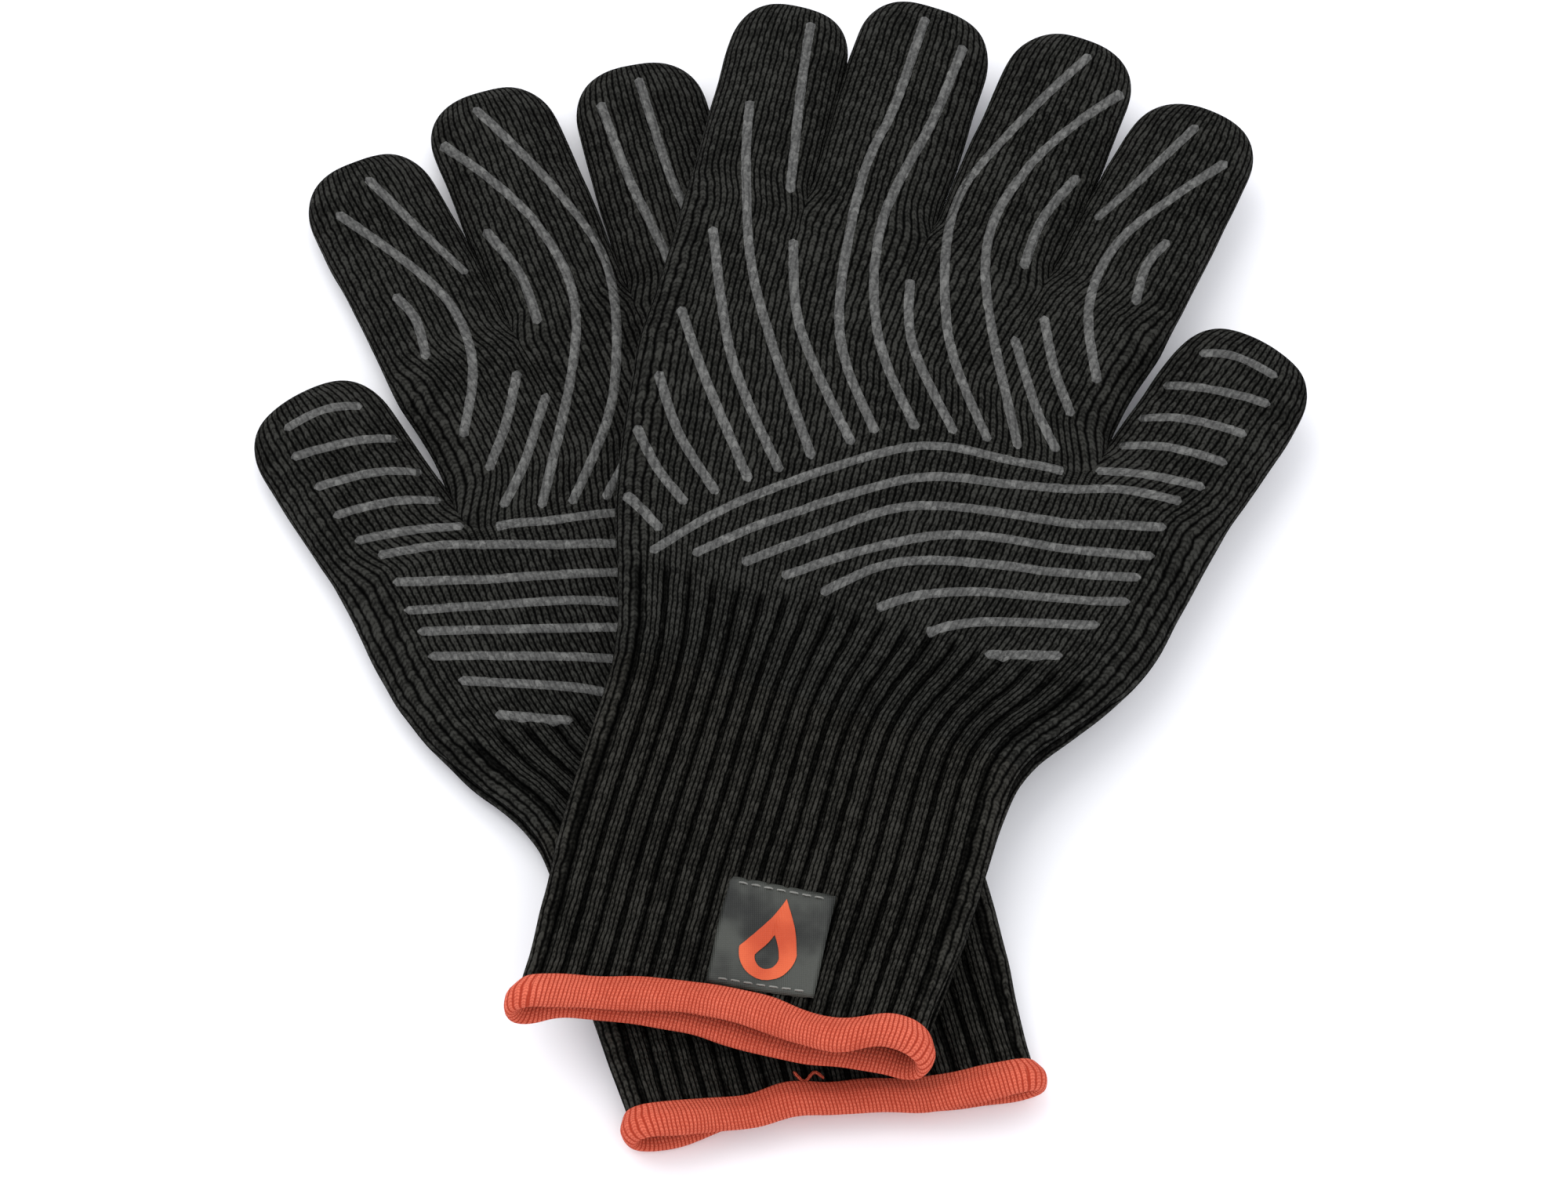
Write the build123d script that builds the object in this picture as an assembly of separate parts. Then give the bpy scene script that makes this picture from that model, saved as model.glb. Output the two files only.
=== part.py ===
"""A pair of heat-resistant knitted gloves with silicone grip lines, lying crossed, palms up.

The left glove lies on the surface and the right glove lies across it. Each glove is a knitted aramid
shell over a cotton lining, with grip lines of silicone printed on the palm side, a coloured band bound
over the edge of the ribbed cuff, and a sewn label. Every layer is modelled lying flat as a rounded,
hollow slab, and is divided where the glove bends: at the wrist and at the root of each digit.

Units are millimetres. A glove is drawn in its own flat frame: the origin is the middle of the wrist,
+Y runs towards the fingertips, +X towards the thumb, and +Z out of the palm. The left glove is the
right one mirrored. The pair's origin is the middle of its bounding box, on the surface it lies on.
"""

import os
from math import atan2, cos, degrees, radians, sin

from build123d import *

# ---- Driving dimensions -------------------------------------------------------------------------

HAND_THICKNESS = 16.0  # palm and digits, lying flat
CUFF_THICKNESS = 14.0
SHELL_WALL = 1.8  # knitted aramid
LINING_WALL = 1.2  # knitted cotton
LAYER_GAP = 0.1  # between shell and lining
EDGE_RADIUS = 5.0  # rounding of the folded sides of the hand
CUFF_EDGE_RADIUS = 4.5
PRINT_DEPTH = 4.0  # how far down the rounded sides of the palm the grip lines run

CUFF_END = -69.5  # where the middle of the cuff's knit ends, inside the band
MOUTH_SKEW = 8.0  # degrees: the mouth runs up towards the thumb's side
WRIST_LINE = 24.0  # where the cuff bends against the hand
CUFF_WIDTH = 100.0  # at the mouth
WRIST_WIDTH = 104.0

BAND_LENGTH = 8.0  # along the cuff
BAND_OVERHANG = 2.0  # beyond the cuff's knit
BAND_WRAP = 1.0  # thickness of the band over and under the knit

HINGE_GAP = 0.6  # between two bodies at a bend line
HINGE_RISE = 1.0  # height of a bend axis above the palm surface
SIDE_GAP = 1.2  # what a digit gives up on each side, so that neighbours can curl together

LINE_WIDTH = 2.8  # grip line
LINE_HEIGHT = 0.8
SMALLEST_LINE_PIECE = 3.0  # mm3: a cut line's leftover smaller than this is not printed

LABEL_SIZE = 27.0
LABEL_SHIFT = 6.0  # its middle, from the cuff's towards the thumb's side
LABEL_RISE = 14.5  # its lower edge, above the end of the cuff's knit
LABEL_TILT = 4.0  # degrees, sewn on slightly askew
LABEL_THICKNESS = 0.6
LABEL_CORNER = 1.0
EMBLEM_THICKNESS = 0.3
EMBLEM_MARGIN = 1.41  # between the flame and each row of stitches
FLAME_HEIGHT = 2.9  # of the flame, from its bottom to its tip, in radii of its round bottom
STITCH_LENGTH = 2.2
STITCH_PITCH = 3.2
STITCH_WIDTH = 0.5
STITCH_HEIGHT = 0.35
STITCH_INSET = 1.4  # from the label's edge

TACK_WIDTH = 1.0  # bar tack of band thread on the left cuff
TACK_PATH = [(7.5, 5.5), (5.5, 2.5), (2.5, 4.0), (0.5, 2.0)]  # above the band's inner edge

LAY_GAP = 0.4  # between the two gloves
LABELLED_SIDE = "right"  # the other glove shows the face that has no label
LAYS = {  # how each glove lies: wrist position and the lean of its fingers towards +X
    "left": {"wrist": (-6.0, -83.0), "lean": -15.5, "height": 0.0, "mirrored": True},
    "right": {
        "wrist": (2.5, -72.0),
        "lean": 16.0,
        "height": HAND_THICKNESS + LINE_HEIGHT + LAY_GAP,
        "mirrored": False,
    },
}

# The digits fan out from the knuckle line: root width, lean, length from the bend line, tip width.
KNUCKLE_START = (-76.5, 163.0)  # outer side of the little finger's root
FINGERS = {
    "little": {"width": 31.5, "lean": -4.0, "length": 70.5, "tip": 28.5},
    "ring": {"width": 34.8, "lean": -1.0, "length": 82.5, "tip": 32.0},
    "middle": {"width": 33.5, "lean": 5.5, "length": 86.5, "tip": 31.0},
    "index": {"width": 34.5, "lean": 10.5, "length": 78.0, "tip": 31.5},
}
THUMB = {"width": 37.0, "lean": 17.0, "length": 64.0, "tip": 34.5}
THUMB_CROTCH = (49.0, 110.0)

# Sides of the palm and of the ball of the thumb, from the wrist up. The last point of each lies past
# the bend line, where the piece is cut.
LITTLE_SIDE = [(-50, -5), (-54, 28), (-68, 71), (-75, 115), (-76.5, 163), (-77, 190)]
INDEX_SIDE = [(50, -5), (48.5, 60), (49.5, 108), (56.5, 157), (62, 190)]
THENAR_SIDE = [(50, 20), (65, 42), (77, 64), (84.4, 99), (89, 115)]
THENAR_INNER = [(53.5, 126), (25, 30)]
SIDE_SMOOTHING = 9.0  # radius that rounds the corners of those sides

# Grip lines, each the middle of a printed bead.
GRIP_LINES = [
    # across the palm, from the ribbed cuff's edge towards the thumb
    [(-54, 53), (-33, 76), (2, 101), (30, 107), (43, 109)],
    [(-43, 55), (-24, 72), (5, 92), (32, 100), (55, 107), (75, 109)],
    [(-30, 56), (-14, 69), (7, 84), (38, 92), (73, 100)],
    [(-19, 55), (2, 70), (25, 81), (72, 91)],
    [(-8, 53), (8, 67), (34, 75), (70, 84)],
    [(7, 53), (17, 60), (36, 67), (69, 76)],
    [(21, 50), (34, 57), (63, 67)],
    [(37, 48), (56, 55)],
    # across the thumb
    [(51, 112), (64, 114), (77, 115)],
    [(55, 122), (68, 124), (80, 124)],
    [(58, 132), (70, 134), (84, 134)],
    [(62, 144), (74, 145), (87, 145)],
    [(68, 156), (77, 157), (87, 155)],
    # short ones on the little finger's side of the palm
    [(-66, 69), (-53, 60)],
    [(-69, 89), (-60, 78), (-49, 69)],
    [(-68, 106), (-57, 89), (-42, 74)],
    [(-68, 127), (-55, 107), (-35, 80)],
    [(-67, 154), (-50, 115), (-28, 85)],
    # up the little finger
    [(-69, 195), (-63, 173), (-50, 138), (-21, 91)],
    [(-59, 221), (-57, 208), (-50, 171)],
    [(-45, 157), (-35, 129), (-12, 98)],
    # up the ring finger
    [(-30, 235), (-30, 208), (-32, 178), (-25, 132), (-7, 103)],
    [(-18, 231), (-19, 207), (-23, 168), (-15, 134), (3, 107)],
    [(-11, 153), (-5, 133), (13, 109)],
    # up the middle finger
    [(15, 238), (1, 208), (-6, 180), (3, 140), (22, 110)],
    [(26, 230), (10, 200), (7, 165), (30, 111)],
    [(24, 203), (18, 185), (17, 168)],
    [(20, 146), (31, 126), (40, 114)],
    # up the index finger
    [(26, 155), (33, 139), (41, 126)],
    [(49, 223), (40, 204), (32, 190)],
    [(59, 214), (41, 186), (37, 162), (45, 138)],
    [(53, 188), (49, 178), (49, 165)],
]

# ---- Values worked out from them ----------------------------------------------------------------

MID_HEIGHT = HAND_THICKNESS / 2
BEND_HEIGHT = HAND_THICKNESS + HINGE_RISE
LABEL_CENTRE = (LABEL_SHIFT, CUFF_END + LABEL_RISE + LABEL_SIZE / 2)
BAND_INNER_EDGE = CUFF_END + BAND_LENGTH - BAND_OVERHANG
STITCH_REACH = STITCH_INSET + STITCH_WIDTH / 2
EMBLEM_RADIUS = (LABEL_SIZE - 2 * (STITCH_REACH + EMBLEM_MARGIN)) / FLAME_HEIGHT
LINING_OFFSET = SHELL_WALL + LAYER_GAP
POCKET_OFFSET = LINING_OFFSET + LINING_WALL
BEYOND = 30.0  # how far a pocket or a cutting block runs past the piece it cuts
FAN_MARGIN = 8.0  # widens each finger's cutting block over the notch between fanned fingers
TALL = 4 * HAND_THICKNESS


def place_digits():
    """The hinge frame of each digit in the glove's flat frame: middle of its bend line, and its lean."""
    placed = {}
    x, y = KNUCKLE_START
    for name, finger in FINGERS.items():
        turn = radians(finger["lean"])
        across = (finger["width"] * cos(turn), -finger["width"] * sin(turn))
        placed[name] = {**finger, "root": (x + across[0] / 2, y + across[1] / 2)}
        x, y = x + across[0], y + across[1]
    turn = radians(THUMB["lean"])
    half = THUMB["width"] / 2
    root = (THUMB_CROTCH[0] + half * cos(turn), THUMB_CROTCH[1] - half * sin(turn))
    placed["thumb"] = {**THUMB, "root": root}
    return placed


DIGITS = place_digits()


def digit_location(digit):
    """From a digit's own frame, +Y along it from the bend line, to the glove's flat frame."""
    return Location((*digit["root"], 0), (0, 0, -digit["lean"]))


# ---- Rounded hollow slabs -----------------------------------------------------------------------


def rounded_slab(outline, thickness, edge_radius):
    """A flat outline thickened about mid height, with rounded folded sides."""
    slab = extrude(Pos(0, 0, MID_HEIGHT - thickness / 2) * outline, thickness)
    rims = slab.faces().filter_by(Axis.Z).edges()
    return fillet(rims, edge_radius)


def layers(make_slab):
    """Shell and lining from one slab function of the inward offset, and the pocket's slab."""
    pocket = make_slab(POCKET_OFFSET)
    lining = make_slab(LINING_OFFSET) - pocket
    shell = make_slab(0) - make_slab(SHELL_WALL)
    return shell, lining


def printed_layer(make_slab):
    """The thin space over a slab in which grip lines are printed, on the palm side only."""
    skin = make_slab(-LINE_HEIGHT) - make_slab(0)
    palm_side = Pos(0, 100, HAND_THICKNESS - PRINT_DEPTH) * Box(
        400, 600, TALL, align=(Align.CENTER, Align.CENTER, Align.MIN)
    )
    return skin & palm_side


def digit_slab(digit, inward):
    """A digit in its own frame, its root running back past the bend line."""
    tip_radius = digit["tip"] / 2 - inward
    half_root = digit["width"] / 2 - SIDE_GAP - inward
    tip_centre = digit["length"] - digit["tip"] / 2
    root = Pos(0, -BEYOND / 2) * Rectangle(2 * half_root, BEYOND)
    tip = Pos(0, tip_centre) * Circle(tip_radius)
    outline = make_hull(root.edges() + tip.edges())
    return rounded_slab(outline, HAND_THICKNESS - 2 * inward, EDGE_RADIUS - inward)


def smooth_polygon(points):
    """A closed outline whose corners are rounded with a large radius."""
    outline = make_face(Polyline(*points, close=True))
    return fillet(outline.vertices(), SIDE_SMOOTHING)


def palm_slab(inward):
    """The palm and the ball of the thumb as one slab, running past every bend line."""
    thickness, radius = HAND_THICKNESS - 2 * inward, EDGE_RADIUS - inward
    hand = smooth_polygon(LITTLE_SIDE + INDEX_SIDE[::-1])
    thenar = smooth_polygon(THENAR_SIDE + THENAR_INNER)
    if inward:
        hand, thenar = [offset(o, -inward, kind=Kind.INTERSECTION) for o in (hand, thenar)]
    return rounded_slab(hand, thickness, radius) + rounded_slab(thenar, thickness, radius)


def cuff_slab(inward, thickness=CUFF_THICKNESS):
    """The ribbed cuff, running past the wrist line and past its open end."""
    half_mouth, half_wrist = CUFF_WIDTH / 2 - inward, WRIST_WIDTH / 2 - inward
    low, high = CUFF_END - BEYOND, WRIST_LINE + BEYOND
    outline = make_face(
        Polyline((-half_mouth, low), (half_mouth, low), (half_wrist, high), (-half_wrist, high), close=True)
    )
    return rounded_slab(outline, thickness - 2 * inward, CUFF_EDGE_RADIUS - inward)


# ---- Blocks that cut the layers at the bend lines -----------------------------------------------


def keep_block(low, high, width=400):
    """Everything between two heights along Y."""
    return Pos(0, low, MID_HEIGHT) * Box(
        width, high - low, TALL, align=(Align.CENTER, Align.MIN, Align.CENTER)
    )


def digit_block(digit, start, margin=HINGE_GAP):
    """Everything on a digit's side of its bend line, from a distance along the digit."""
    block = keep_block(start, digit["length"] + 2 * BEYOND, digit["width"] + 2 * margin)
    return digit_location(digit) * block


def palm_region():
    """What stays of the palm's layers: above the wrist line and short of every digit's bend line."""
    region = keep_block(WRIST_LINE + HINGE_GAP / 2, 200)
    for name, digit in DIGITS.items():
        margin = FAN_MARGIN if name in FINGERS else HINGE_GAP
        region -= digit_block(digit, -HINGE_GAP / 2, margin)
    return region


def digit_region(digit):
    return digit_block(digit, HINGE_GAP / 2)


# ---- Grip lines ---------------------------------------------------------------------------------


def line_strip(points):
    """One printed line as a tall strip, to be cut to the printed layer."""
    if len(points) == 2:
        path = Line(*points)
    else:
        path = Spline(*[Vector(x, y) for x, y in points])
    strip = trace(path, LINE_WIDTH)
    ends = Sketch() + [Pos(*(path @ t)) * Circle(LINE_WIDTH / 2) for t in (0, 1)]
    return extrude(Pos(0, 0, MID_HEIGHT) * (strip + ends), HAND_THICKNESS)


def grip_lines(layer, strips):
    """The printed lines that lie in one body's layer, as separate solids."""
    pieces = []
    for strip in strips:
        found = layer & strip
        if found:
            pieces += [s for s in found.solids() if s.volume > SMALLEST_LINE_PIECE]
    return Compound(pieces)


# ---- Band, label and tack -----------------------------------------------------------------------


def mouth_block(start, end):
    """Everything between two distances up the cuff from where its knit ends, square to the mouth."""
    return Location((0, CUFF_END, 0), (0, 0, MOUTH_SKEW)) * keep_block(start, end)


def cuff_band():
    """The coloured band, folded over the end of the cuff like a binding, open at the mouth."""
    outer = cuff_slab(-BAND_WRAP, CUFF_THICKNESS)
    mouth = cuff_slab(POCKET_OFFSET + BAND_WRAP)
    ring = (outer - mouth) & mouth_block(-BAND_OVERHANG, BAND_LENGTH - BAND_OVERHANG)
    groove = (cuff_slab(0) - cuff_slab(POCKET_OFFSET)) & mouth_block(0, BAND_LENGTH)
    return ring - groove


def cuff_top():
    return MID_HEIGHT + CUFF_THICKNESS / 2


def on_label(shape, height=0.0):
    """Place a shape drawn about the label's middle, at a height above the cuff."""
    return Location((*LABEL_CENTRE, cuff_top() + height), (0, 0, LABEL_TILT)) * shape


def label_patch():
    outline = RectangleRounded(LABEL_SIZE, LABEL_SIZE, LABEL_CORNER)
    return on_label(extrude(outline, LABEL_THICKNESS))


def flame_outline(scale):
    """A plain flame: a round bottom drawn up into a leaning point."""
    r = EMBLEM_RADIUS * scale
    bowl = ThreePointArc((-r, 0), (0, -r), (r, 0))
    tip = (0.25 * r, (FLAME_HEIGHT - 1) * r)
    right = Spline((r, 0), (0.75 * r, 0.9 * r), tip, tangents=[(0, 1), (-0.3, 1)])
    left = Spline(tip, (-0.15 * r, 1.1 * r), (-r, 0), tangents=[(-0.1, -1), (0, -1)])
    return make_face([bowl, right, left])


def label_emblem():
    flame = flame_outline(1.0) - Pos(0, -0.2 * EMBLEM_RADIUS) * flame_outline(0.45)
    centred = Pos(0, -EMBLEM_RADIUS / 2) * extrude(flame, EMBLEM_THICKNESS)
    return on_label(centred, LABEL_THICKNESS)


def label_stitches():
    """Rows of straight stitches along the label's upper and lower edges."""
    run = LABEL_SIZE - 2 * STITCH_INSET
    count = int(run / STITCH_PITCH)
    stitch = extrude(SlotOverall(STITCH_LENGTH, STITCH_WIDTH), STITCH_HEIGHT)
    row_height = LABEL_SIZE / 2 - STITCH_INSET
    rows = [
        on_label(Pos((i - (count - 1) / 2) * STITCH_PITCH, side * row_height) * stitch, LABEL_THICKNESS)
        for side in (-1, 1)
        for i in range(count)
    ]
    return Compound(rows)


def bar_tack():
    path = Polyline(*TACK_PATH)
    place = Pos(0, BAND_INNER_EDGE, cuff_top())
    return extrude(place * trace(path, TACK_WIDTH), TACK_WIDTH / 2)


# ---- One glove ----------------------------------------------------------------------------------


def make_glove():
    """Every node of a right glove, in its own flat frame, without the side's prefix."""
    nodes = {}
    strips = [line_strip(points) for points in GRIP_LINES]

    region = palm_region()
    shell, lining = layers(palm_slab)
    nodes["palm_shell"] = shell & region
    nodes["palm_lining"] = lining & region
    nodes["palm_grip_lines"] = grip_lines(printed_layer(palm_slab) & region, strips)

    below_wrist = keep_block(CUFF_END - BEYOND, WRIST_LINE - HINGE_GAP / 2)
    cuff_range = mouth_block(0, TALL + WRIST_LINE - CUFF_END) & below_wrist
    shell, lining = layers(cuff_slab)
    nodes["cuff_shell"] = shell & cuff_range
    nodes["cuff_lining"] = lining & cuff_range
    nodes["cuff_band"] = cuff_band()

    for name, digit in DIGITS.items():

        def slab(inward, digit=digit):
            return digit_location(digit) * digit_slab(digit, inward)

        region = digit_region(digit)
        shell, lining = layers(slab)
        nodes[f"{name}_shell"] = shell & region
        nodes[f"{name}_lining"] = lining & region
        nodes[f"{name}_grip_lines"] = grip_lines(printed_layer(slab) & region, strips)

    nodes["label_patch"] = label_patch()
    nodes["label_emblem"] = label_emblem()
    nodes["label_stitches"] = label_stitches()
    return nodes


def lay_glove(shape, side):
    """A piece from the glove's flat frame to where that glove lies in the pair."""
    lay = LAYS[side]
    if lay["mirrored"]:
        shape = mirror(shape, Plane.YZ)
    return Location((*lay["wrist"], lay["height"]), (0, 0, -lay["lean"])) * shape


def make_pair():
    glove = make_glove()
    pair = {
        f"{side}_{name}": lay_glove(shape, side)
        for side in LAYS
        for name, shape in glove.items()
        if side == LABELLED_SIDE or not name.startswith("label_")
    }
    pair["left_bar_tack"] = lay_glove(bar_tack(), "left")
    box = Compound([s for piece in pair.values() for s in piece.solids()]).bounding_box()
    centre = (box.min + box.max) / 2
    shift = Vector(-centre.X, -centre.Y, -box.min.Z)
    return {name: Pos(*shift) * piece for name, piece in pair.items()}, shift


def bend_axes(shift):
    """Each bend's point and the direction that curls it towards the palm, in the pair's frame."""
    axes = {}
    for side, lay in LAYS.items():
        hand = -1 if lay["mirrored"] else 1
        turn = radians(lay["lean"])
        bends = {name: (*d["root"], d["lean"]) for name, d in DIGITS.items()}
        bends["wrist"] = (0.0, WRIST_LINE, 180.0)
        for name, (x, y, lean) in bends.items():
            across, along = hand * x, y
            point = (
                lay["wrist"][0] + across * cos(turn) + along * sin(turn) + shift.X,
                lay["wrist"][1] - across * sin(turn) + along * cos(turn) + shift.Y,
                lay["height"] + BEND_HEIGHT + shift.Z,
            )
            heading = turn + radians(hand * lean)
            axes[f"{side}_{name}"] = (point, (cos(heading), -sin(heading), 0.0))
    return axes


pair, pair_shift = make_pair()
os.makedirs("parts", exist_ok=True)
for node_name, node in pair.items():
    export_step(node, f"parts/{node_name}.step")
print(len(pair), "nodes; the pair's frame is shifted by", tuple(pair_shift))
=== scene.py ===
# %% [markdown]
# # A pair of heat-resistant knitted gloves
# The pair lies crossed on a pale surface, palms up, the right glove over the left one. Each glove
# is a knitted aramid shell over a cotton lining, with printed silicone grip lines, a ribbed cuff
# and a coloured knitted band over the cuff's edge. The right one carries a woven label. This script
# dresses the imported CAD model, which stays as the frame that says where everything is and how it
# moves.

# %% Load the frame
from math import cos, pi, radians, sin, sqrt

import bmesh
import bpy
from mathutils import Matrix, Vector, noise
from mathutils.bvhtree import BVHTree
from mathutils.interpolate import poly_3d_calc

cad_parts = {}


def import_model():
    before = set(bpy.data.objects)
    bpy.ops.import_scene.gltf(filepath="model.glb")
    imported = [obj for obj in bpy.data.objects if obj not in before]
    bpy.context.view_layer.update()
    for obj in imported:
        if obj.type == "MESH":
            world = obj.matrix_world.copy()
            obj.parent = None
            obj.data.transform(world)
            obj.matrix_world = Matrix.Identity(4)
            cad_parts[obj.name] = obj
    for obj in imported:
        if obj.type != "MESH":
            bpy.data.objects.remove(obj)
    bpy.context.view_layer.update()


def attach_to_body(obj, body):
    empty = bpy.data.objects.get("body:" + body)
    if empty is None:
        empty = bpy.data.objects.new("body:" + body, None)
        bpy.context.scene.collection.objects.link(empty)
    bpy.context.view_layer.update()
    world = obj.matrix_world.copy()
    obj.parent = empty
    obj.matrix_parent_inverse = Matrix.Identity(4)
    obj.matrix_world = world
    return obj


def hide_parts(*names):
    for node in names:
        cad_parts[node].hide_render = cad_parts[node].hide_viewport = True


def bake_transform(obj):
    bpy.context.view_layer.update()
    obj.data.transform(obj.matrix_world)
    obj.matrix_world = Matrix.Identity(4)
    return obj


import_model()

# %% [markdown]
# ## How the two gloves lie
# A glove is drawn in its own flat frame, in millimetres: the origin is the middle of the wrist, +Y
# runs to the fingertips, +X to the thumb, and the palm faces +Z. The left glove is the right one
# mirrored. One matrix takes a point of a glove to its place in the pair, in metres.

# %% Where each glove lies
MM = 0.001
PAIR_SHIFT = (1.218, -8.126)  # from the gloves' common drawing to the pair's own middle
LAYS = {
    "left": {"wrist": (-6.0, -83.0), "lean": -15.5, "height": 0.0, "hand": -1},
    "right": {"wrist": (2.5, -72.0), "lean": 16.0, "height": 17.2, "hand": 1},
}


def lay_matrix(side):
    """From a glove's flat frame in millimetres to the pair's frame in metres."""
    lay = LAYS[side]
    x, y = lay["wrist"][0] + PAIR_SHIFT[0], lay["wrist"][1] + PAIR_SHIFT[1]
    turn = Matrix.Rotation(radians(-lay["lean"]), 4, "Z")
    place = Matrix.Translation((x, y, lay["height"])) @ turn
    flip = Matrix.Diagonal((lay["hand"], 1, 1, 1))
    return Matrix.Scale(MM, 4) @ place @ flip


for side in LAYS:
    print(side, "wrist at", [round(v, 4) for v in lay_matrix(side) @ Vector((0, 0, 0))])

# %% [markdown]
# ## The glove's pattern
# A knitted glove is a tube that splits: the thumb leaves it first, then the four fingers. The mesh
# is made the same way, so that its columns of faces run as the wales of the knit do: eight across
# the front for each digit, as many across the back, and four round each side. Rows of the palm are
# set out at stations between the mouth of the cuff and the knuckles.

# %% The pattern's sizes, in millimetres
COLUMNS = 8  # across the front of each digit
SIDE_STEPS = 4  # faces round each side
PALM_COLUMNS = 4 * COLUMNS
ALL_COLUMNS = 5 * COLUMNS
SIDE_COLUMNS = 2  # how many columns' width the rounded side takes up, seen from the front
MID = 8.0  # height of the middle of the glove
WRIST_LINE = 24.0  # above it is the hand, below it the cuff
STATIONS = [  # (row's length from the last one in faces, left end, right end, half thickness)
    (0, (-50.5, -77.0), (50.0, -64.0), 6.4),
    (5, (-51.0, -50.0), (50.5, -40.0), 6.9),
    (5, (-52.0, -22.0), (51.0, -15.0), 7.1),
    (9, (-53.5, 24.0), (52.5, 21.0), 7.3),
    (4, (-60.0, 48.0), (66.0, 43.0), 7.5),
    (4, (-67.5, 72.0), (77.0, 66.0), 7.6),
]
THUMB_CROTCH = (49.0, 110.0)
SPLIT_LEFT, SPLIT_RIGHT, SPLIT_ROWS = (-75.0, 115.0), (84.4, 99.0), 7
HALF_THICKNESS = 7.7
KNUCKLE_START, KNUCKLE_ROWS = (-76.5, 163.0), 10
FINGERS = {
    "little": {"width": 31.5, "lean": -4.0, "length": 70.5, "tip": 29.5},
    "ring": {"width": 34.8, "lean": -1.0, "length": 82.5, "tip": 33.0},
    "middle": {"width": 33.5, "lean": 5.5, "length": 86.5, "tip": 32.0},
    "index": {"width": 34.5, "lean": 10.5, "length": 78.0, "tip": 32.5},
}
THUMB = {"width": 37.0, "lean": 17.0, "length": 64.0, "tip": 35.0}
DIGIT_ORDER = ["little", "ring", "middle", "index"]
PARTS = ["cuff", "palm", "thumb", "little", "ring", "middle", "index"]


def place_digits():
    """Each digit's root ends, root middle, and directions across and along it."""
    placed, corner = {}, Vector(KNUCKLE_START)
    for name in DIGIT_ORDER + ["thumb"]:
        digit = dict(FINGERS.get(name, THUMB))
        turn = radians(digit["lean"])
        if name == "thumb":
            corner = Vector(THUMB_CROTCH)
        across = Vector((cos(turn), -sin(turn)))
        digit.update(start=corner, across=across, along=Vector((sin(turn), cos(turn))))
        digit["end"] = corner + across * digit["width"]
        digit["root"] = corner + across * digit["width"] / 2
        placed[name], corner = digit, digit["end"]
    return placed


DIGITS = place_digits()
print({name: [round(v, 1) for v in digit["root"]] for name, digit in DIGITS.items()})

# %% [markdown]
# ### Shape functions
# Three functions set the character of the shape: a smooth step, a smooth curve through points, and
# a cross-section's outline with its points evenly spaced, so that every wale is as wide as the
# next.

# %% Shape functions
PILLOW_POWER = 2.5  # 2 is an ellipse; more is squarer
OUTLINE_STEPS = 480  # how finely an outline is measured


def smooth(t):
    t = min(1.0, max(0.0, t))
    return t * t * (3 - 2 * t)


def through(points, t):
    """A smooth curve through evenly numbered points, at t from 0 to their last number."""
    i = min(int(t), len(points) - 2)
    f = t - i
    p = [points[max(0, min(len(points) - 1, k))] for k in (i - 1, i, i + 1, i + 2)]
    return 0.5 * (
        2 * p[1] + (p[2] - p[0]) * f
        + (2 * p[0] - 5 * p[1] + 4 * p[2] - p[3]) * f * f
        + (3 * p[1] - p[0] - 3 * p[2] + p[3]) * f ** 3
    )


def pillow_ring(half_width, half_thickness, steps):
    """Evenly spaced (across, up) points round a flattened tube, from its left side's middle."""
    curve = []
    for k in range(OUTLINE_STEPS + 1):
        a = pi - 2 * pi * k / OUTLINE_STEPS
        x, z = (
            half * abs(v) ** (2 / PILLOW_POWER) * (1 if v > 0 else -1)
            for half, v in ((half_width, cos(a)), (half_thickness, sin(a)))
        )
        curve.append(Vector((x, z)))
    lengths = [0.0]
    for a, b in zip(curve, curve[1:]):
        lengths.append(lengths[-1] + (b - a).length)
    ring, k = [], 0
    for step in range(steps):
        goal = lengths[-1] * step / steps
        while lengths[k + 1] < goal:
            k += 1
        f = (goal - lengths[k]) / (lengths[k + 1] - lengths[k])
        ring.append(curve[k].lerp(curve[k + 1], f))
    return ring


first = pillow_ring(16, 8, 24)[0]
print("a finger's ring starts at", [round(v, 1) for v in first])

# %% [markdown]
# ### The mouth of each cuff
# The cuff is soft, so its mouth is never a straight slit: the lips touch in places and gape in
# others. Numbers along the mouth say how far each lip stands from the middle, as a share of half
# the cuff's thickness, and how many millimetres it drops or stops short of the mouth's line. The
# effect dies out a few centimetres up the cuff.

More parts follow.
